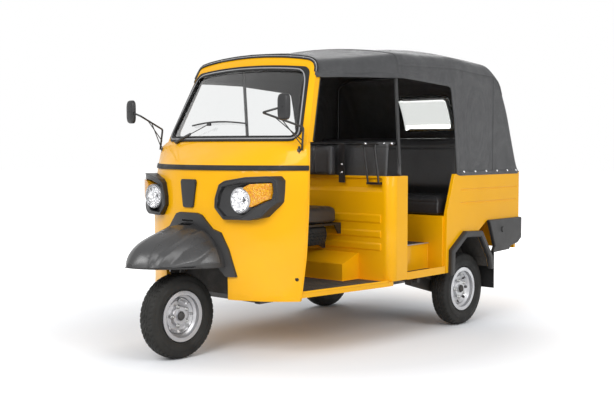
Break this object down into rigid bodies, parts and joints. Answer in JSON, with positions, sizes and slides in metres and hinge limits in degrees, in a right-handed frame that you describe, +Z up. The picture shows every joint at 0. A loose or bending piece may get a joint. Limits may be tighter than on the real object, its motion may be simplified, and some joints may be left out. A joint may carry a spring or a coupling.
{
  "type": "auto rickshaw",
  "caption": "Three-wheeled passenger taxi with a rounded cab front, open sides, a fabric hood over tube bows, a rear bench and a front wheel steered by a handlebar.",
  "frame": {"origin": "on the ground under the middle of the vehicle's length and width", "axes": "+Z up, the nose points along -Y, the vehicle's left side is +X"},
  "size_m": [1.464, 2.98, 1.8878],
  "materials": {
    "body_paint": "gloss",
    "grey_moulding": "satin grain",
    "black_rubber": "matte",
    "black_steel": "satin",
    "dark_steel": "painted",
    "cast_alloy": "cast",
    "wheel_steel": "silver paint",
    "tyre_rubber": "matte",
    "clear_glass": "clear",
    "lamp_clear": "clear",
    "lamp_amber": "clear amber",
    "lamp_red": "clear red",
    "hood_fabric": "coated cloth",
    "seat_vinyl": "vinyl"
  },
  "bodies": {
    "root": {"front_cowl": "body_paint", "wheel_well": "body_paint", "bulkhead": "body_paint", "floor_box": "body_paint", "cab_floor": "body_paint", "passenger_tub": "body_paint", "side_panel_l": "body_paint", "side_panel_r": "body_paint", "rear_panel": "body_paint", "front_fender": "grey_moulding", "headlamp_bezels": "grey_moulding", "nose_trim": "grey_moulding", "wheel_flares": "grey_moulding", "corner_boxes": "grey_moulding", "dashboard": "grey_moulding", "windscreen_seal": "black_rubber", "belt_strip": "black_rubber", "mud_flaps": "black_rubber", "mirrors": "black_steel", "wiper": "black_steel", "chassis_frame": "black_steel", "seat_frame": "black_steel", "canopy_frame": "black_steel", "handrails": "black_steel", "shock_absorbers": "black_steel", "silencer": "black_steel", "tow_eye": "black_steel", "trailing_arms": "dark_steel", "engine": "cast_alloy", "spare_wheel": "tyre_rubber", "windscreen": "clear_glass", "headlamps": "lamp_clear", "indicators": "lamp_amber", "tail_lamps": "lamp_red", "canopy": "hood_fabric", "partition": "hood_fabric", "driver_seat": "seat_vinyl", "driver_backrest": "seat_vinyl", "bench_cushion": "seat_vinyl", "bench_backrest": "seat_vinyl"},
    "steering": {"fork": "dark_steel", "handlebar": "black_steel"},
    "front_wheel": {"tyre_front": "tyre_rubber", "rim_front": "wheel_steel"},
    "rear_wheel_left": {"tyre_rear_l": "tyre_rubber", "rim_rear_l": "wheel_steel"},
    "rear_wheel_right": {"tyre_rear_r": "tyre_rubber", "rim_rear_r": "wheel_steel"},
    "engine_hatch": {"engine_door": "body_paint"}
  },
  "joints": [
    {"name": "steering_turn", "type": "hinge", "parent": "root", "child": "steering", "pos_m": [0, -1.10083, 0.245], "axis": [0, 0.342, 0.9397], "range_deg": [-38, 38]},
    {"name": "front_wheel_spin", "type": "hinge", "parent": "steering", "child": "front_wheel", "pos_m": [0, -1.145, 0.245], "axis": [1, 0, 0], "continuous": true},
    {"name": "rear_left_wheel_spin", "type": "hinge", "parent": "root", "child": "rear_wheel_left", "pos_m": [0.59, 0.855, 0.245], "axis": [1, 0, 0], "continuous": true},
    {"name": "rear_right_wheel_spin", "type": "hinge", "parent": "root", "child": "rear_wheel_right", "pos_m": [-0.59, 0.855, 0.245], "axis": [1, 0, 0], "continuous": true},
    {"name": "engine_hatch_hinge", "type": "hinge", "parent": "root", "child": "engine_hatch", "pos_m": [0, 1.4745, 0.918], "axis": [1, 0, 0], "range_deg": [0, 75]}
  ]
}
